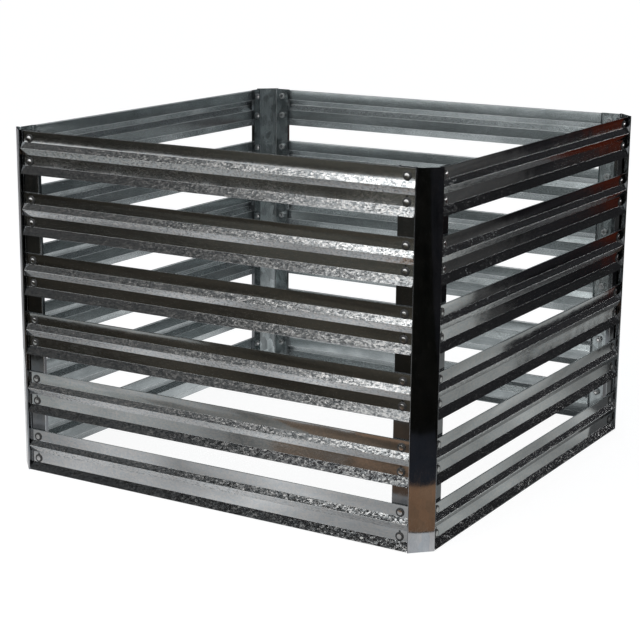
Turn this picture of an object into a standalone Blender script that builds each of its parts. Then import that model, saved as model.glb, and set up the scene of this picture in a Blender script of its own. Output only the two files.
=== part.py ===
"""Open slatted compost bin of galvanised sheet steel: four folded corner posts carry six ribbed slats a side.

Metres, +Z up. The origin is at the middle of the bin, on the ground that its posts stand on.
The front slats face -Y.
"""

import math

import bmesh
import bpy
from mathutils import Matrix, Vector

# The whole bin
FACE_SPAN = 0.980  # between the flats of opposite slats
SLATS_A_SIDE = 6
SLAT_PITCH = 0.128
POST_RISE = 0.0015  # posts end this much above the top slats
POST_FOOT = 0.0015  # and this much below the bottom ones
FIT_GAP = 0.0003  # between a slat and the post flange behind it
END_GAP = 0.0015  # between a slat's end and the wall of the post

# The slat's section, from its top edge down
SLAT_SHEET = 0.0008
SLAT_HEIGHT = 0.089
UPPER_FLAT = 0.024
RIB_UPPER = 0.0125  # height of the rib's slope that faces up
RIB_LOWER = 0.0135  # and of the one that faces down
RIB_DEPTH = 0.0072
LOWER_FLAT = 0.022
SKIRT_FLARE = 0.0090  # how far the bottom edge kicks out
TOP_LIP = 0.0032  # turned out along the top edge
SLAT_FOLD = 0.0010  # inside radius of the folds

# The corner post's section
POST_SHEET = 0.0012
FLANGE_WIDTH = 0.040
FLANGE_LIP = 0.009  # turned into the bin along each flange's free edge
CORNER_SETBACK = 0.031  # from the corner of the slat planes to the post's walls
NOSE_PROUD = 0.0087  # how far the folded edges of the corner face stand out from the slats
POST_FOLD = 0.0005  # inside radius of the folds

# Bolts: two at each end of every slat, through slat and flange
BOLT_HOLE = 0.0090
UPPER_BOLT_DROP = 0.0155  # below the slat's top edge
LOWER_BOLT_DROP = 0.0635
PILOT_HOLE = 0.0045  # small spare hole over each lower bolt
PILOT_DROP = 0.0530

# Zinc finishes, a colour and a roughness: spangled on the slats, plain and darker on the posts
SLAT_FINISH = ((0.50, 0.52, 0.54), 0.20)
POST_FINISH = ((0.42, 0.44, 0.46), 0.14)

HOLE_SIDES = 8
FOLD_FACET = math.radians(45)  # the most that one facet of a fold turns

HALF_SPAN = FACE_SPAN / 2
FLANGE_DEPTH = SLAT_SHEET + FIT_GAP  # from the slat flats to the flange's outer face
SLAT_LENGTH = FACE_SPAN - 2 * (CORNER_SETBACK + END_GAP)
BOLT_SETBACK = CORNER_SETBACK + FLANGE_WIDTH / 2  # the bolts run down the flange's middle
BOTTOM_SLAT_TOP = POST_FOOT + SLAT_HEIGHT
POST_HEIGHT = POST_FOOT + (SLATS_A_SIDE - 1) * SLAT_PITCH + SLAT_HEIGHT + POST_RISE


def clear_scene():
    for obj in list(bpy.data.objects):
        bpy.data.objects.remove(obj, do_unlink=True)


def new_collection(name):
    collection = bpy.data.collections.new(name)
    bpy.context.scene.collection.children.link(collection)
    return collection


def steel(name, shade, roughness):
    material = bpy.data.materials.new(name)
    material.use_nodes = True
    shader = material.node_tree.nodes["Principled BSDF"]
    shader.inputs["Base Color"].default_value = (*shade, 1)
    shader.inputs["Metallic"].default_value = 1
    shader.inputs["Roughness"].default_value = roughness
    return material


def folded_line(corners, sheet, inside):
    """The outer line of a folded sheet: each corner of the section becomes an arc of the fold's own radius.

    The sheet lies to the left of the line, so the outer face has the larger radius where the line turns left.
    """
    line = [Vector(corners[0])]
    for before, corner, after in zip(corners, corners[1:], corners[2:]):
        corner = Vector(corner)
        arriving = (corner - Vector(before)).normalized()
        leaving = (Vector(after) - corner).normalized()
        turn = arriving.angle(leaving)
        turns_left = arriving.cross(leaving) > 0
        radius = inside + (sheet if turns_left else 0)
        to_centre = (leaving - arriving).normalized() * radius / math.cos(turn / 2)
        start = -arriving * radius * math.tan(turn / 2) - to_centre
        facets = math.ceil(turn / FOLD_FACET)
        for step in range(facets + 1):
            angle = turn * step / facets * (1 if turns_left else -1)
            line.append(corner + to_centre + Matrix.Rotation(angle, 2) @ start)
    line.append(Vector(corners[-1]))
    return line


def folded_sheet(name, section, sweep, sheet, collection):
    """An object: the section's outer line swept along a vector and given its sheet's thickness."""
    mesh = bpy.data.meshes.new(name)
    shape = bmesh.new()
    points = [shape.verts.new(point) for point in section]
    for start, end in zip(points, points[1:]):
        shape.edges.new((start, end))
    swept = bmesh.ops.extrude_edge_only(shape, edges=shape.edges[:])
    moved = [item for item in swept["geom"] if isinstance(item, bmesh.types.BMVert)]
    bmesh.ops.translate(shape, verts=moved, vec=sweep)
    shape.to_mesh(mesh)
    shape.free()
    obj = bpy.data.objects.new(name, mesh)
    collection.objects.link(obj)
    wall = obj.modifiers.new("Sheet", "SOLIDIFY")
    wall.thickness = sheet
    wall.offset = 1
    wall.use_even_offset = True
    return obj


def hole_punch(name, places, diameter, length, collection):
    """One cutter with a rod at each place, a pair of a centre and a direction."""
    mesh = bpy.data.meshes.new(name)
    shape = bmesh.new()
    for centre, direction in places:
        turn = Vector((0, 0, 1)).rotation_difference(Vector(direction)).to_matrix().to_4x4()
        bmesh.ops.create_cone(
            shape,
            cap_ends=True,
            segments=HOLE_SIDES,
            radius1=diameter / 2,
            radius2=diameter / 2,
            depth=length,
            matrix=Matrix.Translation(centre) @ turn,
        )
    shape.to_mesh(mesh)
    shape.free()
    cutter = bpy.data.objects.new(name, mesh)
    cutter.hide_render = True
    cutter.display_type = "WIRE"
    collection.objects.link(cutter)
    return cutter


def punch(obj, cutter):
    cut = obj.modifiers.new(cutter.name, "BOOLEAN")
    cut.operation = "DIFFERENCE"
    cut.solver = "EXACT"
    cut.object = cutter


def finished_mesh(obj, name):
    """The object's mesh with its modifiers applied, to be shared by every copy of the piece."""
    bpy.context.view_layer.update()
    graph = bpy.context.evaluated_depsgraph_get()
    mesh = bpy.data.meshes.new_from_object(obj.evaluated_get(graph))
    mesh.name = name
    mesh.shade_smooth()
    mesh.set_sharp_from_angle(angle=math.radians(40))
    bpy.data.objects.remove(obj, do_unlink=True)
    return mesh


def slat_section():
    """Points of the slat's outer face at its left end (x along the slat, -y outwards) from its top edge down."""
    outline = [(TOP_LIP, SLAT_SHEET), (0.0, SLAT_SHEET)]
    drop = 0.0
    for height, depth in (
        (UPPER_FLAT, 0.0),
        (RIB_UPPER, RIB_DEPTH),
        (RIB_LOWER, 0.0),
        (LOWER_FLAT, 0.0),
    ):
        drop += height
        outline.append((depth, drop))
    outline.append((SKIRT_FLARE, SLAT_HEIGHT))
    line = folded_line([(-depth, -drop) for depth, drop in outline], SLAT_SHEET, SLAT_FOLD)
    return [(-SLAT_LENGTH / 2, point.x, point.y) for point in line]


def slat_mesh(parts, cutters):
    slat = folded_sheet("slat", slat_section(), (SLAT_LENGTH, 0, 0), SLAT_SHEET, parts)
    reach = HALF_SPAN - BOLT_SETBACK
    through = 6 * SLAT_SHEET
    bolts = hole_punch(
        "slat_bolt_holes",
        [
            ((side * reach, SLAT_SHEET / 2, -drop), (0, 1, 0))
            for side in (-1, 1)
            for drop in (UPPER_BOLT_DROP, LOWER_BOLT_DROP)
        ],
        BOLT_HOLE,
        through,
        cutters,
    )
    pilots = hole_punch(
        "slat_pilot_holes",
        [((side * reach, SLAT_SHEET / 2, -PILOT_DROP), (0, 1, 0)) for side in (-1, 1)],
        PILOT_HOLE,
        through,
        cutters,
    )
    punch(slat, bolts)
    punch(slat, pilots)
    return finished_mesh(slat, "slat")


def post_section():
    """Points of the post's outer face, seen from above, for the corner at +X -Y.

    Each wall folds back through 135 degrees into the corner face, so the rounded nose of that fold
    lies inside the sharp corner by its radius times the square root of two.
    """
    sharp_corner = NOSE_PROUD + math.sqrt(2) * (POST_FOLD + POST_SHEET)
    free_edge = CORNER_SETBACK + FLANGE_WIDTH
    half = [
        (free_edge, FLANGE_DEPTH + FLANGE_LIP),
        (free_edge, FLANGE_DEPTH),
        (CORNER_SETBACK, FLANGE_DEPTH),
        (CORNER_SETBACK, -sharp_corner),
    ]
    across = half + [(depth, along) for along, depth in reversed(half)]
    corners = [(HALF_SPAN - x, y - HALF_SPAN) for x, y in across]
    return [(*point, 0) for point in folded_line(corners, POST_SHEET, POST_FOLD)]


def post_mesh(parts, cutters):
    post = folded_sheet("post", post_section(), (0, 0, POST_HEIGHT), POST_SHEET, parts)
    reach = HALF_SPAN - BOLT_SETBACK
    depth = HALF_SPAN - FLANGE_DEPTH - POST_SHEET / 2
    places = []
    for row in range(SLATS_A_SIDE):
        slat_top = BOTTOM_SLAT_TOP + row * SLAT_PITCH
        for drop in (UPPER_BOLT_DROP, LOWER_BOLT_DROP):
            height = slat_top - drop
            places.append(((reach, -depth, height), (0, 1, 0)))
            places.append(((depth, -reach, height), (1, 0, 0)))
    punch(post, hole_punch("post_bolt_holes", places, BOLT_HOLE, 6 * POST_SHEET, cutters))
    return finished_mesh(post, "post")


def turned_side(name, turn, collection):
    """An empty at the bin's middle, a quarter turn on for each side. It carries that side's pieces."""
    side = bpy.data.objects.new(name, None)
    side.rotation_euler.z = turn * math.pi / 2
    collection.objects.link(side)
    return side


def place(name, mesh, finish, side, location, collection):
    """A copy of a piece on its side of the bin, with a material of its own."""
    obj = bpy.data.objects.new(name, mesh)
    obj.parent = side
    obj.location = location
    collection.objects.link(obj)
    obj.material_slots[0].link = "OBJECT"
    obj.material_slots[0].material = steel(f"{name}_zinc", *finish)


def main():
    clear_scene()
    parts = new_collection("compost_bin")
    cutters = new_collection("cutters")
    slat = slat_mesh(parts, cutters)
    post = post_mesh(parts, cutters)
    for mesh in (slat, post):
        mesh.materials.append(None)
    corners = ("front_right", "back_right", "back_left", "front_left")
    for turn, (face, corner) in enumerate(zip(("front", "right", "back", "left"), corners)):
        side = turned_side(f"{face}_side", turn, parts)
        for row in range(SLATS_A_SIDE):
            name = f"{face}_slat_{SLATS_A_SIDE - row}"
            height = BOTTOM_SLAT_TOP + row * SLAT_PITCH
            place(name, slat, SLAT_FINISH, side, (0, -HALF_SPAN, height), parts)
        place(f"{corner}_post", post, POST_FINISH, side, (0, 0, 0), parts)


main()
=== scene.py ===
# %% [markdown]
# # An open compost bin of galvanised sheet steel
# The bin is a kit of thin folded sheet: four corner posts and six ribbed slats a side, held by bolts.
# Its solids come from the packed part. This lesson dresses them: rounder folds, bolts and nuts,
# the frosty crystals of hot-dip zinc, and a studio whose cards and floor the bright metal mirrors.

import math
from types import SimpleNamespace

import bmesh
import bpy
from mathutils import Matrix, Quaternion, Vector


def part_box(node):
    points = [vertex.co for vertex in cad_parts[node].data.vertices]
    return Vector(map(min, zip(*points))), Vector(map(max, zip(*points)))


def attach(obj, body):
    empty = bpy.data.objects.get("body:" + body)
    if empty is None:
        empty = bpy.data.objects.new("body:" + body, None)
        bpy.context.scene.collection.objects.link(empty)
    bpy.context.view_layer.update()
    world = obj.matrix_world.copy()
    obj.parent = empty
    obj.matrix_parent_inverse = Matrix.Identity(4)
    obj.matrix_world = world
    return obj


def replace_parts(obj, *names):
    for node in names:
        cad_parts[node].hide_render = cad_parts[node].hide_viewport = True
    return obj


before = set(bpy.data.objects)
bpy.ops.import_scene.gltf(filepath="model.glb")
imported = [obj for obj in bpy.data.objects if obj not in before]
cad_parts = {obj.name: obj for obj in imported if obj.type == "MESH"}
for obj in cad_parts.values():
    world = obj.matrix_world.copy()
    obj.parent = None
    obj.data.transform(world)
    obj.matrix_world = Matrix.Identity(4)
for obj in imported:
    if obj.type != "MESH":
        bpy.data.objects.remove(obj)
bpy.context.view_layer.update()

# %% [markdown]
# ## Arithmetic on sockets
# A finish is a chain of small sums, such as "half a crystal's brightness plus a little dirt". Wired by
# hand they are hard to read, so one class wraps an output socket and turns Python's + - and * into nodes.
# Numbers use Math nodes and vectors use Vector Math, because a Math node would turn a colour grey.

# %% A socket that takes part in sums
class Wire:
    """An output socket of a node tree: sums on it add nodes, and node() adds any other kind."""

    def __init__(self, socket):
        self.socket = socket
        self.tree = socket.id_data

    def node(self, kind, settings=None, values=None, output=0):
        """Adds a node, sets its settings, then its sockets, and wraps one of its outputs."""
        made = self.tree.nodes.new(kind)
        for name, value in (settings or {}).items():
            setattr(made, name, value)
        for name, value in (values or {}).items():
            entry = made.inputs[name]
            if isinstance(value, Wire):
                self.tree.links.new(value.socket, entry)
            else:
                entry.default_value = value
        return Wire(made.outputs[output])

    def _sum(self, operation, *terms):
        """A number with a number goes through Math, anything with a vector through Vector Math."""
        kinds = {term.socket.type if isinstance(term, Wire) else type(term).__name__ for term in terms}
        if kinds <= {"VALUE", "int", "float"}:
            return self.node("ShaderNodeMath", {"operation": operation}, dict(enumerate(terms)))
        spread = [(term, term, term) if isinstance(term, (int, float)) else term for term in terms]
        return self.node("ShaderNodeVectorMath", {"operation": operation}, dict(enumerate(spread)))

    def __add__(self, other):
        return self._sum("ADD", self, other)

    def __radd__(self, other):
        return self._sum("ADD", other, self)

    def __sub__(self, other):
        return self._sum("SUBTRACT", self, other)

    def __rsub__(self, other):
        return self._sum("SUBTRACT", other, self)

    def __mul__(self, other):
        return self._sum("MULTIPLY", self, other)

    def __rmul__(self, other):
        return self._sum("MULTIPLY", other, self)

    def larger(self, other):
        """The larger of two numbers."""
        return self._sum("MAXIMUM", self, other)

    def size(self):
        """This number without its sign."""
        return self._sum("ABSOLUTE", self)

    def between(self, low, high):
        """This number read as 0 at low and 1 at high, held inside that range."""
        values = {"Value": self, "From Min": low, "From Max": high}
        return self.node("ShaderNodeMapRange", {"clamp": True}, values)

    def part(self, axis):
        """One of this vector's three numbers, 0 for X, 1 for Y and 2 for Z."""
        return self.node("ShaderNodeSeparateXYZ", {}, {0: self}, axis)

    def along(self, direction):
        """How far this place lies along a direction, counted from the origin."""
        return self.node("ShaderNodeVectorMath", {"operation": "DOT_PRODUCT"}, {0: self, 1: direction}, 1)

    def blend(self, first, second):
        """The colour first where this number is 0 and second where it is 1."""
        first, second = ((*c, 1) if isinstance(c, tuple) else c for c in (first, second))
        return self.node("ShaderNodeMix", {"data_type": "RGBA"}, {0: self, 6: first, 7: second}, 2)


print("what a wire can do:", [name for name in vars(Wire) if not name.startswith("_")])

# %% [markdown]
# A new material comes with a shader already in it. Clearing the tree first means that all of a finish
# stands in this script, and the place on the surface is what nearly every pattern starts from.

# %% Begin and end a tree of nodes
def new_material(name):
    """A material with an empty tree, and the place on the surface as its first wire."""
    material = bpy.data.materials.new(name)
    material.use_nodes = True
    material.node_tree.nodes.clear()
    place = material.node_tree.nodes.new("ShaderNodeNewGeometry")
    return material, Wire(place.outputs["Position"])


def show(surface, kind="ShaderNodeOutputMaterial"):
    """Sends a shader to the output of its material, or to another kind of output."""
    output = surface.tree.nodes.new(kind)
    surface.tree.links.new(surface.socket, output.inputs["Surface"])


print("a tree ends in its Surface socket")

# %% [markdown]
# ## The camera
# The photograph was taken from the front right, a little above the rim, with a long lens from about
# four metres. The numbers were fitted to the edges of the bin in the picture.

# %% Stand the camera where the photographer stood
VIEW_AZIMUTH = math.radians(30.795)
VIEW_ELEVATION = math.radians(13.654)
VIEW_TILT = math.radians(0.552)
VIEW_DISTANCE = 3.8212
AIM = Vector((-0.0243, -0.0145, 0.2898))
SENSOR_WIDTH = 36  # millimetres
LENS = 96.82

backwards = Vector(
    (
        math.sin(VIEW_AZIMUTH) * math.cos(VIEW_ELEVATION),
        -math.cos(VIEW_AZIMUTH) * math.cos(VIEW_ELEVATION),
        math.sin(VIEW_ELEVATION),
    )
)
camera = bpy.data.objects.new("camera", bpy.data.cameras.new("camera"))
camera.data.sensor_width = SENSOR_WIDTH
camera.data.lens = LENS
camera.rotation_mode = "QUATERNION"
camera.rotation_quaternion = backwards.to_track_quat("Z", "Y") @ Quaternion((0, 0, 1), VIEW_TILT)
camera.location = AIM + backwards * VIEW_DISTANCE
bpy.context.collection.objects.link(camera)
bpy.context.scene.camera = camera
bpy.context.scene.view_settings.view_transform = "Standard"
print("camera at", [round(v, 3) for v in camera.location])

# %% [markdown]
# ## Folded sheet with rounded folds
# A press brake never leaves a sharp fold: the sheet bends over a small radius, and on bright zinc that
# radius is what catches a thin line of light. A bevel could round the corners afterwards, but its width
# has to be guessed for each angle. Here each corner of the section becomes a true arc instead.

# %% Round the corners of a section
FOLD_STEPS = 5  # facets in one fold


def rounded(corners, sheet, inside):
    """The section's outer line with an arc at each corner. The sheet lies to the left of the line."""
    line = [Vector(corners[0])]
    for before, corner, after in zip(corners, corners[1:], corners[2:]):
        corner = Vector(corner)
        arriving = (corner - Vector(before)).normalized()
        leaving = (Vector(after) - corner).normalized()
        turn = arriving.angle(leaving)
        side = 1 if arriving.cross(leaving) > 0 else -1
        radius = inside + (sheet if side > 0 else 0)
        centre = (leaving - arriving).normalized() * radius / math.cos(turn / 2)
        start = -arriving * radius * math.tan(turn / 2) - centre
        for step in range(FOLD_STEPS + 1):
            spin = Matrix.Rotation(side * turn * step / FOLD_STEPS, 2)
            line.append(corner + centre + spin @ start)
    return [*line, Vector(corners[-1])]


print("facets in a fold:", FOLD_STEPS)

# %% [markdown]
# The rounded line is swept along the piece, and a Solidify modifier gives it the sheet's thickness. The
# modifier can give the new faces another material, which tells later which side of the sheet is which.

# %% Sweep a section into sheet
def mesh_of(name, shape):
    """A bmesh turned into a mesh, and freed."""
    mesh = bpy.data.meshes.new(name)
    shape.to_mesh(mesh)
    shape.free()
    return mesh


def placed(name, data):
    """A new object in the scene."""
    obj = bpy.data.objects.new(name, data)
    bpy.context.collection.objects.link(obj)
    return obj


def swept_sheet(name, section, sweep, sheet):
    """An object of the section swept along a vector, as thick as the sheet."""
    shape = bmesh.new()
    points = [shape.verts.new(point) for point in section]
    for start, end in zip(points, points[1:]):
        shape.edges.new((start, end))
    swept = bmesh.ops.extrude_edge_only(shape, edges=shape.edges[:])
    far = [item for item in swept["geom"] if isinstance(item, bmesh.types.BMVert)]
    bmesh.ops.translate(shape, verts=far, vec=sweep)
    obj = placed(name, mesh_of(name, shape))
    wall = obj.modifiers.new("sheet", "SOLIDIFY")
    wall.thickness = sheet
    wall.offset = 1
    wall.use_even_offset = True
    wall.material_offset = 1
    wall.material_offset_rim = 1
    for _ in range(2):
        obj.data.materials.append(None)
    return obj


print("a sheet has two sides: material 0 faces away, material 1 is seen")

# %% [markdown]
# Weather and wear treat the sides of a sheet differently, and a fold differs from both: its stretched zinc
# crazes into a pale line, which is also a painted highlight. Numbers stored on the faces tell the finish
# which is which, so one material can paint them all.

# %% Mark the faces of a finished sheet
NARROW = 0.0006  # a facet narrower than this belongs to a fold
SHARP_CUT = math.radians(35)  # edges that turn more than this stay sharp


def mark_faces(mesh, name, value):
    """Stores a number on each face under a name that a finish can read."""
    data = mesh.attributes.new(name, "FLOAT", "FACE").data
    for face, mark in zip(mesh.polygons, data):
        mark.value = value(face)


def settled(obj, name):
    """The mesh that an object's modifiers make, smooth over the folds and sharp at the cut edges.

    Faces of the first material, the side that faces away, are marked 1 as reverse and the rest 0. The
    mark fold tells the narrow facets of the folds from the flat bands.
    """
    bpy.context.view_layer.update()
    graph = bpy.context.evaluated_depsgraph_get()
    mesh = bpy.data.meshes.new_from_object(obj.evaluated_get(graph))
    mesh.name = name
    mesh.shade_smooth()
    mesh.set_sharp_from_angle(angle=SHARP_CUT)

    def width(face):
        longest = max((mesh.vertices[a].co - mesh.vertices[b].co).length for a, b in face.edge_keys)
        return face.area / longest

    mark_faces(mesh, "reverse", lambda face: 1 - face.material_index)
    mark_faces(mesh, "fold", lambda face: 1.0 if width(face) < NARROW else 0.0)
    for face in mesh.polygons:
        face.material_index = 0
    mesh.materials.clear()
    bpy.data.objects.remove(obj, do_unlink=True)
    return mesh


print("facets of a fold are under", round(NARROW * 1000, 2), "mm wide")

# %% [markdown]
# ## A slat
# From its top edge down, a slat has a small turned-out lip, a flat band, a V rib, a second flat band and
# a bottom edge that kicks out. The rib and the kick keep the thin sheet from sagging under the heap.
# All 24 slats come off one roll-forming line, so one mesh serves them all.

# %% Form one slat
HALF_SPAN = 0.490  # from the bin's middle to the flats of a side
CORNER_SETBACK = 0.031  # from the corner of the slat planes to the post's walls
END_GAP = 0.0015  # between a slat's end and the wall of the post
SLAT_SHEET = 0.0008
SLAT_FOLD = 0.0010  # inside radius of the folds
SLAT_LENGTH = 2 * (HALF_SPAN - CORNER_SETBACK - END_GAP)
TOP_LIP = 0.0032  # turned out along the top edge
SLAT_DROPS = (0.024, 0.0365, 0.050, 0.072, 0.089)  # each fold and the bottom edge, below the top
SLAT_DEPTHS = (0.0, 0.0072, 0.0, 0.0, 0.0090)

outline = [(TOP_LIP, SLAT_SHEET), (0.0, SLAT_SHEET), *zip(SLAT_DEPTHS, SLAT_DROPS)]
slat_line = rounded([(-depth, -drop) for depth, drop in outline], SLAT_SHEET, SLAT_FOLD)
raw_slat = swept_sheet(
    "raw_slat",
    [(-SLAT_LENGTH / 2, point.x, point.y) for point in slat_line],
    (SLAT_LENGTH, 0, 0),
    SLAT_SHEET,
)
print("slat section points:", len(slat_line), "length:", round(SLAT_LENGTH, 4))

# %% [markdown]
# Above each lower bolt the slat has a small spare hole. A Boolean with two short rods drills the pair
# in one go, before the mesh is copied.

# %% Drill the spare holes
FLANGE_WIDTH = 0.040  # of the post, behind the slat's end
BOLT_REACH = HALF_SPAN - CORNER_SETBACK - FLANGE_WIDTH / 2  # the bolts run down the flange's middle
PILOT_DROP = 0.0530
PILOT_HOLE = 0.0045
DRILL_LENGTH = 0.006
DRILL_SIDES = 20
TO_FRONT = Matrix.Rotation(math.pi / 2, 4, "X")  # turns what points up to point to the front


def boolean(obj, operation, tool):
    """Adds an exact Boolean with the tool to the object."""
    cut = obj.modifiers.new(tool.name, "BOOLEAN")
    cut.operation = operation
    cut.solver = "EXACT"
    cut.object = tool


drill = bmesh.new()
for side in (-1, 1):
    bmesh.ops.create_cone(
        drill,
        cap_ends=True,
        segments=DRILL_SIDES,
        radius1=PILOT_HOLE / 2,
        radius2=PILOT_HOLE / 2,
        depth=DRILL_LENGTH,
        matrix=Matrix.Translation((side * BOLT_REACH, 0, -PILOT_DROP)) @ TO_FRONT,
    )
drill_rods = placed("drill", mesh_of("drill", drill))
boolean(raw_slat, "DIFFERENCE", drill_rods)
slat_mesh = settled(raw_slat, "slat")
bpy.data.objects.remove(drill_rods, do_unlink=True)
print("slat faces:", len(slat_mesh.polygons))

# %% [markdown]
# ## A corner post
# Seen from above, a post is one strip of sheet folded six times: a lip, a flange behind the slats, a
# wall over their ends, the broad corner face, and the same again on the other side. Its two acute noses
# are the tightest folds of the bin, so they are the ones that need true arcs most.

# %% Fold one post
POST_SHEET = 0.0012
POST_FOLD = 0.0005  # inside radius of the folds
POST_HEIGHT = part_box("front_right_post")[1][2]
FIT_GAP = 0.0003  # between a slat and the flange behind it
FLANGE_DEPTH = SLAT_SHEET + FIT_GAP
FLANGE_LIP = 0.009  # turned in along the flange's free edge
NOSE_PROUD = 0.0087  # how far the folded noses stand out from the slats

sharp_nose = NOSE_PROUD + math.sqrt(2) * (POST_FOLD + POST_SHEET)
half_strip = [
    (CORNER_SETBACK + FLANGE_WIDTH, FLANGE_DEPTH + FLANGE_LIP),
    (CORNER_SETBACK + FLANGE_WIDTH, FLANGE_DEPTH),
    (CORNER_SETBACK, FLANGE_DEPTH),
    (CORNER_SETBACK, -sharp_nose),
]
strip = half_strip + [(depth, along) for along, depth in reversed(half_strip)]
post_line = rounded([(HALF_SPAN - x, y - HALF_SPAN) for x, y in strip], POST_SHEET, POST_FOLD)
raw_post = swept_sheet("raw_post", [(*point, 0) for point in post_line], (0, 0, POST_HEIGHT), POST_SHEET)
post_mesh = settled(raw_post, "post")
print("post faces:", len(post_mesh.polygons), "height:", round(POST_HEIGHT, 4))

# %% [markdown]
# ## Bolts and nuts
# Two bolts at each end of every slat hold it to the flange: a low domed head outside, a hexagon nut and
# a few turns of thread inside. Both are round about one axis, so a small lathe makes them: it turns a
# profile of radius and height pairs, the way a Screw modifier would, but gives a closed mesh at once.

# %% A lathe
ROUND_EDGE = math.radians(40)  # edges that turn less than this look smooth


def lathe(name, profile, sides):
    """A turned body about the Z axis, from (radius, height) pairs."""
    shape = bmesh.new()
    turns = [2 * math.pi * i / sides for i in range(sides)]
    rings = []
    for radius, height in profile:
        around = turns if radius else turns[:1]
        rings.append([shape.verts.new((radius * math.cos(t), radius * math.sin(t), height)) for t in around])
    for lower, upper in zip(rings, rings[1:]):
        for i in range(sides):
            j = (i + 1) % sides
            ends = ((lower, i), (lower, j), (upper, j), (upper, i))
            corners = [ring[step % len(ring)] for ring, step in ends]
            shape.faces.new(dict.fromkeys(corners))
    bmesh.ops.recalc_face_normals(shape, faces=shape.faces)
    mesh = mesh_of(name, shape)
    mesh.shade_smooth()
    mesh.set_sharp_from_angle(angle=ROUND_EDGE)
    return mesh


print("a ring of radius 0 is one point on the axis")

# %% [markdown]
# The thread is drawn as rings and not as a spiral: only its last turns show behind the nut, where nobody
# can tell, and rings keep the bolt a simple turned body. The rim of the head gets the mark of a reverse
# face, and its finish paints that rim nearly black: painted shade round the head, so that only the crown
# is bright.

# %% Turn a bolt
HEAD_RADIUS = 0.0088
RIM_HEIGHT = 0.0012  # the head's straight edge
RIM_BEVEL = 0.0002  # taken off its top
DOME_RISE = 0.0013  # the crown above it
DOME_STEPS = 7
DOME_START = 0.985  # of the angle at the head's edge, for the crown's first ring
# outside this radius the head's rim is painted nearly black: painted shade round the head
BRIGHT_CROWN = 0.0051  # radius that stays bright
SHANK_RADIUS = 0.0039
THREAD_PITCH = 0.00125
THREAD_DEPTH = 0.0005
THREAD_START = -0.0001  # under the head
TAIL = 0.0035  # the bolt past its nut
TAIL_TAPER = 0.0010
BOLT_SIDES = 28
NUT_HEIGHT = 0.0065
GRIP = FLANGE_DEPTH + POST_SHEET  # slat, gap and flange under the head

bolt_end = -(GRIP + NUT_HEIGHT + TAIL)
thread = [(SHANK_RADIUS, THREAD_START)]
while thread[-1][1] > bolt_end + 2 * THREAD_PITCH:
    crest = thread[-1][1]
    thread += [(SHANK_RADIUS - THREAD_DEPTH, crest - THREAD_PITCH / 2), (SHANK_RADIUS, crest - THREAD_PITCH)]
dome_radius = (HEAD_RADIUS**2 + DOME_RISE**2) / (2 * DOME_RISE)
edge_angle = math.asin(HEAD_RADIUS / dome_radius)
head = [(HEAD_RADIUS, 0), (HEAD_RADIUS, RIM_HEIGHT - RIM_BEVEL)]
for step in range(DOME_STEPS):
    angle = edge_angle * (1 - step / DOME_STEPS) * DOME_START
    lift = dome_radius * (math.cos(angle) - math.cos(edge_angle))
    head.append((dome_radius * math.sin(angle), RIM_HEIGHT + lift))
head.append((0, RIM_HEIGHT + DOME_RISE))
tail = [(0, bolt_end), (SHANK_RADIUS - TAIL_TAPER, bolt_end)]
bolt_mesh = lathe("bolt", [*tail, *reversed(thread), *head], BOLT_SIDES)
mark_faces(bolt_mesh, "reverse", lambda face: 1.0 if face.center.xy.length > BRIGHT_CROWN else 0.0)
print("bolt faces:", len(bolt_mesh.polygons), "dome edge:", round(math.degrees(edge_angle), 1), "degrees")

# %% [markdown]
# The nut is a hexagon with its corners turned down to a chamfer. Cutting the chamfer is a Boolean between
# a hexagonal bar and a turned body, which gives the curved edges that a plain prism lacks.

# %% Cut the nut
NUT_ACROSS = 0.013
NUT_BORE = 0.0034  # its radius, at the root of the thread
NUT_FACE = NUT_ACROSS * 0.475  # radius of the flat ring that the chamfer leaves
CHAMFER = 0.0012  # height of the chamfer
CHAMFER_RUN = 2.2 * CHAMFER  # and how far it runs in
CHAMFER_SIDES = 36

corner_radius = NUT_ACROSS / math.sqrt(3)
bore_start = (NUT_BORE, 0)
bar = [bore_start, (corner_radius, 0), (corner_radius, NUT_HEIGHT), (NUT_BORE, NUT_HEIGHT), bore_start]
nut_rim = NUT_FACE + CHAMFER_RUN
lower_end = [(0, 0), (NUT_FACE, 0), (nut_rim, CHAMFER)]
upper_end = [(nut_rim, NUT_HEIGHT - CHAMFER), (NUT_FACE, NUT_HEIGHT), (0, NUT_HEIGHT)]
blank = placed("blank", lathe("blank", bar, 6))
chamfer = placed("chamfer", lathe("chamfer", lower_end + upper_end, CHAMFER_SIDES))
boolean(blank, "INTERSECT", chamfer)
nut_mesh = settled(blank, "nut")
bpy.data.objects.remove(chamfer, do_unlink=True)
print("nut faces:", len(nut_mesh.polygons))

# %% [markdown]
# ## The finish: hot-dip zinc
# Molten zinc freezes on the steel in flat crystals, the spangle. Voronoi cells have their straight edges
# and uneven sizes. A coarse and a fine set of them are laid over each other, a little stretched along the
# sheet, and noise adds what came later: patches, streaks from the rolls, flecks and dust.

# %% The patterns on a sheet
CHANCE_STEP = (7.0, 3.0, 5.0)  # metres that a piece's own chance number moves its patterns by


def noise(where, scale, detail, roughness=0.5):
    """Cloudy noise over a place."""
    values = {"Vector": where, "Scale": scale, "Detail": detail, "Roughness": roughness}
    return where.node("ShaderNodeTexNoise", {}, values)


def face_mark(wire, name):
    """The number that mark_faces stored on the face."""
    return wire.node("ShaderNodeAttribute", {"attribute_name": name}, {}, 2)


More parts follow.
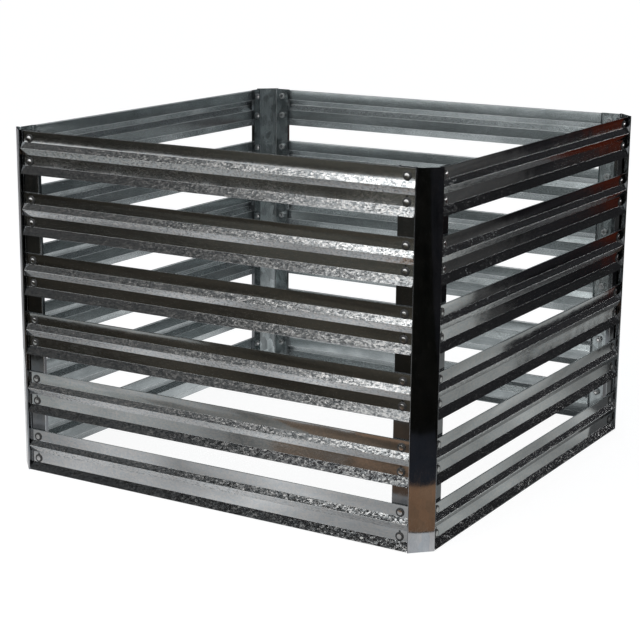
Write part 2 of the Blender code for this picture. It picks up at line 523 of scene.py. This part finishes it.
def zinc_patterns(place, crystal, length):
    """The patterns on a sheet: crystal is the size of the crystals, length the axis of the rolling."""
    spot = place.node("ShaderNodeTexCoord", output="Object")
    chance = place.node("ShaderNodeObjectInfo", output="Random")

    def rolled(along, across):
        return spot * tuple(along if axis == length else across for axis in range(3)) + chance * CHANCE_STEP

    grown = rolled(0.6, 1.0)
    cells = place.node("ShaderNodeTexVoronoi", {}, {"Vector": grown, "Scale": 1 / crystal}, "Color")
    fine = place.node("ShaderNodeTexVoronoi", {}, {"Vector": grown, "Scale": 3.2 / crystal}, "Color")
    return SimpleNamespace(
        height=spot.part(2),
        cells=cells,
        fine=fine,
        light=cells.node("ShaderNodeSeparateColor", {}, {0: cells}, 0),
        grain=fine.node("ShaderNodeSeparateColor", {}, {0: fine}, 1),
        patches=noise(place, 7.0, 3.0, 0.6).between(0.38, 0.66),
        mottle=noise(grown, 45.0, 4.0).between(0.36, 0.64),
        streaks=noise(rolled(2.5, 90.0), 1.0, 3.0).between(0.32, 0.68),
        flecks=noise(grown, 330.0, 1.0).between(0.52, 0.62),
        dust=noise(grown, 420.0, 3.0).between(0.45, 0.75),
    )


print("patterns start from the sheet's own coordinates, so each piece can have its own")

# %% [markdown]
# In the picture the faces that slope, on the rib and the kick, show their crystals strongly and the flat
# bands hardly at all. The slope could be painted on by hand, but the normal already knows it.

# %% Which face is which
SLOPED = (0.15, 0.40)  # up or down part of the normal, from a flat band to a formed one


def zinc_faces(place):
    """What the finish needs to know of the face: where it points, how it slopes and its marks."""
    facing = place.node("ShaderNodeNewGeometry", output="Normal")
    slope = facing.part(2)
    return SimpleNamespace(
        facing=facing,
        formed=slope.size().between(*SLOPED),
        under=(0 - slope).between(*SLOPED),
        reverse=face_mark(place, "reverse"),
        fold=face_mark(place, "fold"),
    )


print("a face counts as formed when its normal's height part passes", SLOPED)

# %% [markdown]
# Each crystal mirrors a slightly different direction, so a band of metal under one lamp shows bright and
# dark patches side by side. Painting grey patches would only look right from one side. Tilting the
# normal by the cell's colour lets the patches come from the light itself.

# %% Lean the crystals
def leaning_normal(place, zinc, face, tilt, wave):
    """The normal with each crystal leaning by up to tilt, on a sheet that buckles by wave."""
    shown = (0.04 + (0.96 - 0.65 * face.under) * face.formed) * (0.5 + 0.5 * zinc.patches)
    strength = shown * (1.0 - 0.78 * face.reverse)
    lean = ((zinc.cells - 0.5) * (tilt * 1.4) + (zinc.fine - 0.5) * (tilt * 0.9)) * strength
    leaning = place.node("ShaderNodeVectorMath", {"operation": "NORMALIZE"}, {0: face.facing + lean})
    buckle = noise(place, 9.0, 2.0)
    return place.node(
        "ShaderNodeBump", {}, {"Strength": 1.0, "Distance": wave, "Height": buckle, "Normal": leaning}
    )


print("crystals lean through the normal, not through paint")

# %% [markdown]
# The seen side is bright, with painted shade on the kicked-out bottom edge. The side that faces away keeps
# a dull oxide. In the folds a pale line is painted: partly crazed coating, partly a painted highlight of the
# fold's arc. Three blends cover that, and each blend's mask is one of the numbers found above.

# %% Colour the zinc
BOTTOM_EDGE = (0.0715, 0.0730)  # below a slat's top, where its bottom edge begins to kick out
DIAGONAL = (0.1, 0.4)  # product of the normal's two level parts, from a square face to the corner face
COOL = (0.96, 1.0, 1.03)
WARM = (1.03, 1.0, 0.98)
DARK_OXIDE = (0.225, 0.255, 0.26)
LIGHT_OXIDE = (0.44, 0.48, 0.485)
# pale fold line: crazed coating and a painted highlight
CRAZE_AND_HIGHLIGHT = (0.80, 0.82, 0.82)


def tinted(shade, tint):
    """A shade with each of its parts times the tint's."""
    return tuple(part * share for part, share in zip(shade, tint))


def seen_side(zinc, face, shade, flange_shade):
    """The colour of the side that is seen, with painted shade on the bottom edge and on square post faces.
    """
    tone_and_painted_shade = 0.86 + 0.10 * zinc.light + 0.08 * zinc.grain + 0.08 * zinc.streaks
    tone_and_painted_shade = tone_and_painted_shade - (0.04 + 0.08 * face.formed) * zinc.dust
    tone_and_painted_shade = tone_and_painted_shade * (1.0 - (face.formed * (0.16 + 0.22 * zinc.patches)) * zinc.flecks)
    # painted shade: the kicked-out bottom edge is darkened
    tone_and_painted_shade = tone_and_painted_shade * (1.0 - 0.38 * (0 - zinc.height).between(*BOTTOM_EDGE))
    # painted shade on a post's faces square to the bin: its flanges behind the slats and its walls
    if flange_shade < 1.0:
        diagonal = (face.facing.part(0) * face.facing.part(1)).size().between(*DIAGONAL)
        tone_and_painted_shade = tone_and_painted_shade * (flange_shade + (1.0 - flange_shade) * diagonal)
    return zinc.light.blend(tinted(shade, COOL), tinted(shade, WARM)) * tone_and_painted_shade


print("a bottom edge starts", round(BOTTOM_EDGE[0] * 1000, 1), "mm below the slat's top")

# %% [markdown]
# Slats and posts share this finish and differ in a few numbers. The posts look smoother in the picture,
# so their crystals are larger and lean less. Their flanges behind the slats and their walls get painted
# shade, so only their corner faces are as bright as a slat.

# %% A zinc finish for sheet
def sheet_zinc(name, shade, crystal, tilt, roughness, wave, length, flange_shade=1.0, contrast=0.08):
    """Bright zinc: crystal is their size in metres, tilt how far each leans, wave the sheet's unevenness.

    Length is the axis, 0 to 2, along which the sheet was rolled: crystals and streaks run that way.
    Flange sets a painted shade on the faces square to the bin, the flanges behind the slats and the walls:
    it is how bright they are beside those at 45 degrees. Contrast is how much one crystal differs from the
    next on the side that faces away.
    """
    material, place = new_material(name)
    zinc = zinc_patterns(place, crystal, length)
    face = zinc_faces(place)
    stain = 0.35 * zinc.patches + 0.3 * zinc.mottle + 0.35 * zinc.streaks
    oxide = stain.blend(DARK_OXIDE, LIGHT_OXIDE) * (0.98 + contrast * (zinc.light - 0.5))
    # fold facets get a pale line, partly crazed coating and partly painted highlight, strongest on the side
    # that faces away
    craze_and_highlight = face.fold * (0.12 + 0.83 * face.reverse) * (0.6 + 0.4 * zinc.streaks)
    sheen = roughness + (0.03 + 0.08 * face.formed) * zinc.grain + 0.05 * zinc.patches * zinc.light
    metal = {
        "Base Color": craze_and_highlight.blend(face.reverse.blend(seen_side(zinc, face, shade, flange_shade), oxide), CRAZE_AND_HIGHLIGHT),
        "Metallic": 1.0 - 0.18 * face.reverse - 0.6 * craze_and_highlight,
        "Roughness": sheen + face.reverse * (0.20 - 0.13 * stain) + 0.2 * craze_and_highlight,
        "Normal": leaning_normal(place, zinc, face, tilt, wave),
    }
    show(place.node("ShaderNodeBsdfPrincipled", {}, metal))
    return material


slat_zinc = sheet_zinc(
    "slat_zinc",
    shade=(0.475, 0.485, 0.485),
    crystal=0.0030,
    tilt=0.082,
    roughness=0.06,
    wave=0.0006,
    length=0,
)
post_zinc = sheet_zinc(
    "post_zinc",
    shade=(0.42, 0.435, 0.45),
    crystal=0.012,
    tilt=0.020,
    roughness=0.05,
    wave=0.0005,
    length=2,
    # painted shade: flanges and walls keep 0.36 of the corner face's brightness
    flange_shade=0.36,
    contrast=0.75,
)
print("finishes:", slat_zinc.name, post_zinc.name)

# %% [markdown]
# The bolts and nuts are plated in a barrel: small parts tumble in the bath, so their zinc has no
# spangle, only a fine satin with a darker film where hands and spanners have touched it.

# %% A zinc finish for fasteners
def barrel_zinc(name, dull_and_rim_shade):
    """Satin zinc. Marked faces take the second colour: painted shade on a bolt's rim, all of a nut."""
    material, place = new_material(name)
    film = noise(place, 260.0, 4.0)
    specks = noise(place, 1500.0, 2.0)
    dull_and_shade_mask = face_mark(place, "reverse")
    polished = film.between(0.35, 0.7).blend((0.56, 0.56, 0.555), (0.46, 0.46, 0.455))
    satin = {
        "Base Color": dull_and_shade_mask.blend(polished, dull_and_rim_shade),
        "Metallic": 1.0 - 0.5 * dull_and_shade_mask,
        "Roughness": 0.08 + 0.06 * film + 0.26 * dull_and_shade_mask,
        "Normal": place.node("ShaderNodeBump", {}, {"Strength": 0.3, "Distance": 0.0002, "Height": specks}),
    }
    show(place.node("ShaderNodeBsdfPrincipled", {}, satin))
    return material


# a bolt's marked rim is painted near-black: painted shade round the head
bolt_zinc = barrel_zinc("bolt_zinc", (0.045, 0.045, 0.045))
nut_zinc = barrel_zinc("nut_zinc", (0.36, 0.37, 0.37))
print("finishes:", bolt_zinc.name, nut_zinc.name)

# %% [markdown]
# ## Put the pieces where the CAD says
# The four sides are the same side turned by quarter turns about the bin's middle, and the rows climb by
# one pitch. Each new piece stands for the CAD node of its own name and rides on the bin's one body.

# %% Hang the slats and stand the posts
SLAT_PITCH = 0.128
POST_RISE = 0.0015  # posts end this much above the top slats
SIDES = ("front", "right", "back", "left")
CORNERS = ("front_right", "back_right", "back_left", "front_left")
ROWS = 6


def quarter(turn):
    """So many quarter turns about the bin's middle, counted from the front."""
    return Matrix.Rotation(turn * math.pi / 2, 4, "Z")


def slat_top(row):
    """Height of a slat's top edge, with row 0 at the top."""
    return POST_HEIGHT - POST_RISE - row * SLAT_PITCH


def piece(name, mesh, finish, where):
    """A shown piece of the bin at its place, with its finish and its material slot."""
    obj = placed(name, mesh)
    obj.matrix_world = where
    if not mesh.materials:
        mesh.materials.append(finish)
    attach(obj, "root")
    return obj


for turn, side in enumerate(SIDES):
    for row in range(ROWS):
        node = f"{side}_slat_{row + 1}"
        where = quarter(turn) @ Matrix.Translation((0, -HALF_SPAN, slat_top(row)))
        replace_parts(piece(f"{node}_sheet", slat_mesh, slat_zinc, where), node)
for turn, corner in enumerate(CORNERS):
    node = f"{corner}_post"
    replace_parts(piece(f"{node}_sheet", post_mesh, post_zinc, quarter(turn)), node)
print("sheets:", len(SIDES) * ROWS + len(CORNERS))

# %% [markdown]
# The fasteners could be 192 objects, but nobody handles them one by one: each post's are gathered into
# one piece of bolts and one of nuts. A post carries the ends of two sides, so its bolts point two ways.
# The places are worked out for the first corner and turned with it, and each bolt gets its own small
# twist about its axis, since nobody lines up the heads.

# %% Fit the bolts and nuts
UPPER_BOLT_DROP = 0.0155  # below the slat's top edge
LOWER_BOLT_DROP = 0.0635
TWIST_STEP = 12.9898  # radians, no whole share of a turn, so that the heads' twists look like chance


def gathered(mesh, places):
    """One mesh of another repeated at many places."""
    whole = bmesh.new()
    for place in places:
        before = len(whole.verts)
        whole.from_mesh(mesh)
        whole.verts.ensure_lookup_table()
        bmesh.ops.transform(whole, matrix=place, verts=whole.verts[before:])
    return mesh_of(f"{mesh.name}s", whole)


def fastener_places(out, flip, seed):
    """Places on the corner at +X -Y: the front's right ends and the right side's front ends."""
    places = []
    for row in range(ROWS):
        for drop in (UPPER_BOLT_DROP, LOWER_BOLT_DROP):
            for side, along in ((0, BOLT_REACH), (1, -BOLT_REACH)):
                twist = math.sin(seed + TWIST_STEP * len(places)) * math.pi
                stand = Matrix.Translation((along, -out, slat_top(row) - drop)) @ TO_FRONT
                if flip:
                    stand = stand @ Matrix.Rotation(math.pi, 4, "X")
                places.append(quarter(side) @ stand @ Matrix.Rotation(twist, 4, "Z"))
    return places


for turn, corner in enumerate(CORNERS):
    bolts = gathered(bolt_mesh, fastener_places(HALF_SPAN, False, turn))
    nuts = gathered(nut_mesh, fastener_places(HALF_SPAN - GRIP, True, turn + 0.5))
    piece(f"{corner}_bolts", bolts, bolt_zinc, quarter(turn))
    piece(f"{corner}_nuts", nuts, nut_zinc, quarter(turn))
print("bolts a post:", len(fastener_places(HALF_SPAN, False, 0)))

# %% [markdown]
# ## The studio
# Mirror-bright sheet has no colour of its own to speak of: it shows the room. The bin stands on a pale
# floor under a wide soft lamp. Dark cards on the floor and round the walls, which only mirrored rays
# see, give the flat bands their depth, as a photographer's black flags do.

# %% A flat card
def flat_card(name, place, size, paint):
    """A flat piece of the studio, level and about the origin before it is placed."""
    shape = bmesh.new()
    bmesh.ops.create_grid(shape, x_segments=1, y_segments=1, size=0.5)
    mesh = mesh_of(name, shape)
    mesh.materials.append(paint)
    card = placed(name, mesh)
    card.matrix_world = place @ Matrix.Diagonal((*size, 1, 1))
    return card


print("every flat piece of the studio starts as a unit square")

# %% [markdown]
# The floor has to be nearly white in the picture and still take the bin's soft shadow. Under plain light
# it would turn grey, so to the camera and to mirrored rays it glows a little, and to the light that
# bounces about it stays matt. The light path tells these rays apart.

# %% The floor
FLOOR_SIZE = 60
FLOOR_DROP = 0.001  # under the posts' feet


def seen_directly(light_path):
    """1 for what the camera sees, itself or in a mirror or through glass."""
    outputs = light_path.socket.node.outputs
    camera_ray, glossy_ray, clear_ray = (
        Wire(outputs[name]) for name in ("Is Camera Ray", "Is Glossy Ray", "Is Transmission Ray")
    )
    return camera_ray.larger(glossy_ray).larger(clear_ray)


floor_paint, floor_place = new_material("floor_paint")
matt = floor_place.node("ShaderNodeBsdfDiffuse", {}, {"Color": (0.80, 0.80, 0.80, 1)})
lit_part = floor_place.node("ShaderNodeBsdfDiffuse", {}, {"Color": (0.22, 0.22, 0.22, 1)})
glow = floor_place.node("ShaderNodeEmission", {}, {"Color": (0.89, 0.89, 0.89, 1), "Strength": 1.0})
pale = floor_place.node("ShaderNodeAddShader", {}, {0: lit_part, 1: glow})
seen = seen_directly(floor_place.node("ShaderNodeLightPath"))
show(floor_place.node("ShaderNodeMixShader", {}, {0: seen, 1: matt, 2: pale}))
flat_card("floor", Matrix.Translation((0, 0, -FLOOR_DROP)), (FLOOR_SIZE, FLOOR_SIZE), floor_paint)
print("floor:", FLOOR_SIZE, "m square")

# %% [markdown]
# The sky is split the same way: plain white to look at, and a weaker, slightly blue fill for the shadows.
# Over it hangs one wide soft box. The metal must not mirror its hard edge, so the lamp itself is hidden
# from mirrored rays and a card with a soft fade takes its place further on.

# %% The sky and the soft box
LAMP_MIDDLE = (0.23, -2.725, 2.5)
LAMP_SIZE = (2.9, 2.15)
LAMP_LEVEL = 2.6  # times as bright as white paper

world = bpy.data.worlds.new("studio")
world.use_nodes = True
world.node_tree.nodes.clear()
ray = Wire(world.node_tree.nodes.new("ShaderNodeLightPath").outputs[0])
fill = ray.node("ShaderNodeBackground", {}, {"Color": (0.90, 0.95, 1.0, 1), "Strength": 0.55})
white = ray.node("ShaderNodeBackground", {}, {"Color": (1, 1, 1, 1), "Strength": 1.0})
sky = ray.node("ShaderNodeMixShader", {}, {0: seen_directly(ray), 1: fill, 2: white})
show(sky, "ShaderNodeOutputWorld")
bpy.context.scene.world = world

soft_box = placed("soft_box", bpy.data.lights.new("soft_box", "AREA"))
soft_box.data.shape = "RECTANGLE"
soft_box.data.size, soft_box.data.size_y = LAMP_SIZE
soft_box.data.energy = LAMP_LEVEL * math.pi * LAMP_SIZE[0] * LAMP_SIZE[1]
soft_box.location = LAMP_MIDDLE
soft_box.visible_camera = False
soft_box.visible_glossy = False
print("soft box:", round(soft_box.data.energy, 1), "W")

# %% [markdown]
# ## Cards for the metal to mirror
# A card of even grey would look cut out in the metal. Soft clouds break it up, and where a band has to
# get lighter or darker along the slat, the card fades along a direction.

# %% Paint and hang a card
FLOOR_CLOUDS = 1.6  # clouds to the metre, nearly


def card_paint(name, shade, clouds, fade=None):
    """Soft clouds from half the shade to half as much again.

    Fade is a direction, two places along it and the share of the shade that is left at each.
    """
    material, place = new_material(name)
    level = 0.45 + 1.1 * noise(place, clouds, 4.0, 0.55).between(0.3, 0.7)
    if fade:
        direction, near, far, near_share, far_share = fade
        ahead = place.along(direction).between(near, far)
        level = level * (near_share + (far_share - near_share) * ahead)
    show(place.node("ShaderNodeEmission", {}, {"Color": shade * level}))
    return material


def flag(name, place, size, paint):
    """A card that only mirrored rays meet: it takes no light from the bin and throws no shadow."""
    card = flat_card(name, place, size, paint)
    card.visible_camera = False
    card.visible_diffuse = False
    card.visible_transmission = False
    card.visible_shadow = False
    card.visible_volume_scatter = False


def lay(cards):
    """Lays cards on the floor, the later entries of each being its direction, shade, height and fade.

    A card runs from its corner by reach[0] ahead and by reach[1] to the left of that. Few have a fade.
    """
    for name, corner, reach, ahead, shade, rise, *fade in cards:
        turned = Matrix.Translation((*corner, rise)) @ Matrix.Rotation(ahead, 4, "Z")
        middle = Matrix.Translation((reach[0] / 2, reach[1] / 2, 0))
        paint = card_paint(f"floor_{name}_paint", shade, FLOOR_CLOUDS, *fade)
        flag(f"floor_{name}", turned @ middle, reach, paint)
    print("floor cards:", ", ".join(card[0] for card in cards))


# %% [markdown]
# The cards follow what each face mirrors. From this camera the front's flat bands look down and away to
# the left. The lower a band is, the nearer the bit of floor that it shows, so pale cards lie close to
# the bin and dark ones further out. Where two cards overlap, the one that lies higher is the one seen.

# %% Floor cards for the front
FAR = 9.0  # from the bin's middle to the walls
TO_RIGHT = 0.0
TO_LEFT = math.pi
LIGHT = (0.44, 0.455, 0.45)
PAPER = (0.80, 0.80, 0.81)
FRONT_FADE = ((0.8, -0.3, 0.0), -0.9, 0.2, 0.35, 1.20)
BROWN_FADE = ((1.0, 0.0, 0.0), -0.12, 0.14, 1.10, 0.55)
LEFT_END_FADE = ((1.0, 0.0, 0.0), -0.62, -0.30, 0.50, 1.0)
RIGHT_END_FADE = ((1.0, 0.0, 0.0), 0.08, 0.32, 1.0, 0.62)

lay(
    (
        ("paper", (-1.6, -1.30), (3.2, 2.8), TO_RIGHT, PAPER, 0.0008),
        ("front_far", (FAR, -2.4), (2 * FAR, 3.0), TO_LEFT, (0.106, 0.102, 0.087), 0.0014, FRONT_FADE),
        ("front_near", (FAR, -1.16), (2 * FAR, 1.24), TO_LEFT, (0.062, 0.056, 0.045), 0.0012, FRONT_FADE),
        ("front_step", (0.60, -0.89), (1.15, 0.27), TO_LEFT, (0.32, 0.32, 0.31), 0.0020, FRONT_FADE),
        ("brown", (0.60, -0.895), (0.72, 0.25), TO_LEFT, (0.25, 0.19, 0.145), 0.0022, BROWN_FADE),
        ("front_heel", (0.60, -0.73), (0.50, 0.19), TO_LEFT, (0.30, 0.20, 0.14), 0.0023, FRONT_FADE),
        ("end_left", (-0.30, -0.49), (0.60, 0.28), TO_LEFT, PAPER, 0.0018, LEFT_END_FADE),
        ("end_right", (0.46, -0.49), (0.41, 0.22), TO_LEFT, PAPER, 0.0018, RIGHT_END_FADE),
        ("left", (-0.55, -0.80), (FAR, 0.45), TO_LEFT, LIGHT, 0.003),
        ("left_low", (-0.24, -0.80), (0.50, 0.17), TO_LEFT, (0.57, 0.58, 0.58), 0.0032),
    )
)

# %% [markdown]
# The right side's bands look away behind it, where the floor is kept nearly black except for light steps
# close to the bin. The broad corner face looks off to the right and is the best mirror of all, so it
# gets its own small cards: a dark one, a blue shade over it and a brown foot.

# %% Floor cards for the right side and the corner
BLACK = (0.014, 0.014, 0.016)
TO_CORNER = -0.55
TO_BACK = math.radians(67)

lay(
    (
        ("back_far", (-0.60, 1.45), (FAR, FAR), TO_RIGHT, BLACK, 0.001),
        ("left_far", (-FAR, -0.80), (FAR - 1.2, 2 * FAR), TO_RIGHT, (0.30, 0.30, 0.31), 0.001),
        ("right_far", (0.95, -FAR), (FAR, 2 * FAR), TO_RIGHT, BLACK, 0.0015),
        ("right_haze", (2.89, 0.22), (6.0, 2.0), TO_BACK, (0.075, 0.075, 0.075), 0.0017),
        ("right_near", (0.495, -0.42), (0.455, 2.2), TO_RIGHT, LIGHT, 0.0025),
        ("right_step", (1.42, 1.56), (1.40, 0.90), math.radians(235), LIGHT, 0.0024),
        ("right_dusk", (0.50, 0.33), (3.0, 0.75), math.radians(71.6), (0.085, 0.088, 0.09), 0.0027),
        ("corner_far", (0.16, -1.19), (FAR, 1.2), TO_CORNER, (0.006, 0.006, 0.005), 0.0018),
        ("corner_blue", (0.682, -0.862), (0.35, 0.45), TO_CORNER, (0.022, 0.024, 0.030), 0.0034),
        ("corner_brown", (0.474, -0.679), (0.27, 0.35), TO_CORNER, (0.26, 0.155, 0.095), 0.0038),
        ("rust", (0.90, 1.55), (6.0, 1.5), TO_BACK, (0.060, 0.012, 0.006), 0.004),
        ("back_gleam", (0.0, 6.9), (FAR, 2.0), TO_RIGHT, (3.0, 3.0, 3.0), 0.005),
    )
)

# %% [markdown]
# The ribs' upper slopes and the bottom edges tip the mirror up, to the walls and the ceiling. Dark cards
# there stand for an unlit room, and bright strips low on three sides for its windows. A fold turns
# through many directions, so it catches one of them somewhere.

# %% Walls, windows and ceiling
WALL_HEIGHT = 4.6
WALL_CLOUDS, WINDOW_CLOUDS, CEILING_CLOUDS = 0.5, 0.8, 0.6
WINDOW_GAP = 0.02  # windows hang this far before the wall
GLEAM_GAP = 0.04


def stood(turn, along, gap, height):
    """The place of an upright card: turn quarters round the room, along its wall and gap before it."""
    return quarter(turn) @ Matrix.Translation((along, gap - FAR, height)) @ TO_FRONT


def wall_card(name, turn, gap, low, high, shade, clouds):
    """An upright card as wide as the room, from low to high."""
    place = stood(turn, 0, gap, (low + high) / 2)
    flag(name, place, (2 * FAR, high - low), card_paint(f"{name}_paint", shade, clouds))


wall_card("wall_front", 0, 0, 2.4, WALL_HEIGHT, (0.03, 0.028, 0.026), WALL_CLOUDS)
wall_card("wall_right", 1, 0, 1.2, WALL_HEIGHT, (0.02, 0.021, 0.024), WALL_CLOUDS)
wall_card("wall_back", 2, 0, 0.35, WALL_HEIGHT, (0.035, 0.035, 0.038), WALL_CLOUDS)
wall_card("wall_left", 3, 0, 2.4, WALL_HEIGHT, (0.20, 0.20, 0.21), WALL_CLOUDS)
wall_card("window_front", 0, WINDOW_GAP, 0.35, 2.4, (1.65, 1.65, 1.65), WINDOW_CLOUDS)
wall_card("window_right", 1, WINDOW_GAP, 0.0, 1.3, (0.36, 0.37, 0.37), WINDOW_CLOUDS)
wall_card("window_back", 2, WINDOW_GAP, 0.0, 0.30, (3.4, 3.4, 3.4), WINDOW_CLOUDS)
gleam_paint = card_paint("side_gleam_paint", (0.9, 0.9, 0.9), WINDOW_CLOUDS)
flag("side_gleam", stood(2, -6.0, GLEAM_GAP, 4.2), (0.7, 0.7), gleam_paint)
ceiling_paint = card_paint("ceiling_paint", (0.09, 0.095, 0.10), CEILING_CLOUDS)
flag("ceiling", Matrix.Translation((0, 0, WALL_HEIGHT)), (2 * FAR, 2 * FAR), ceiling_paint)
print("room:", 2 * FAR, "m wide and", WALL_HEIGHT, "m high")

# %% [markdown]
# The upper slopes of the front's ribs mirror the soft box, brightest at their right ends and falling off
# to the left.
# A lamp's own face is one even white, so a card with a painted fall-off stands in for it. The fifth power
# of a straight fade gives the long dark tail and the sudden bright end.

# %% The soft box as the metal sees it
ASIDE = (-1.0, 0.43, 0.0)  # the direction in which the light falls off
GLOW_MIDDLE = (-1.45, -2.90, 2.51)
GLOW_SIZE = (6.3, 2.50)

glow_paint, glow_place = new_material("glow_paint")
aside = glow_place.along(ASIDE)
depth = glow_place.part(1)
full = depth.between(-2.80, -2.64)  # 1 on the half nearer the bin
rear = depth.between(-3.55, -3.68)  # 1 along the far edge
right_end = 1.0 - aside.between(-0.06, 0.08)
left = 1.0 - aside.between(0.0, 2.2)
steep = left
for _ in range(4):
    steep = steep * left
level = 0.13 + (0.75 + 1.55 * full) * steep + 0.65 * rear * left * left + right_end
show(glow_place.node("ShaderNodeEmission", {}, {"Color": (1.0, 1.0, 1.0) * level}))
flag("soft_box_glow", Matrix.Translation(GLOW_MIDDLE), GLOW_SIZE, glow_paint)
print("glow card:", GLOW_SIZE, "m")

# %% [markdown]
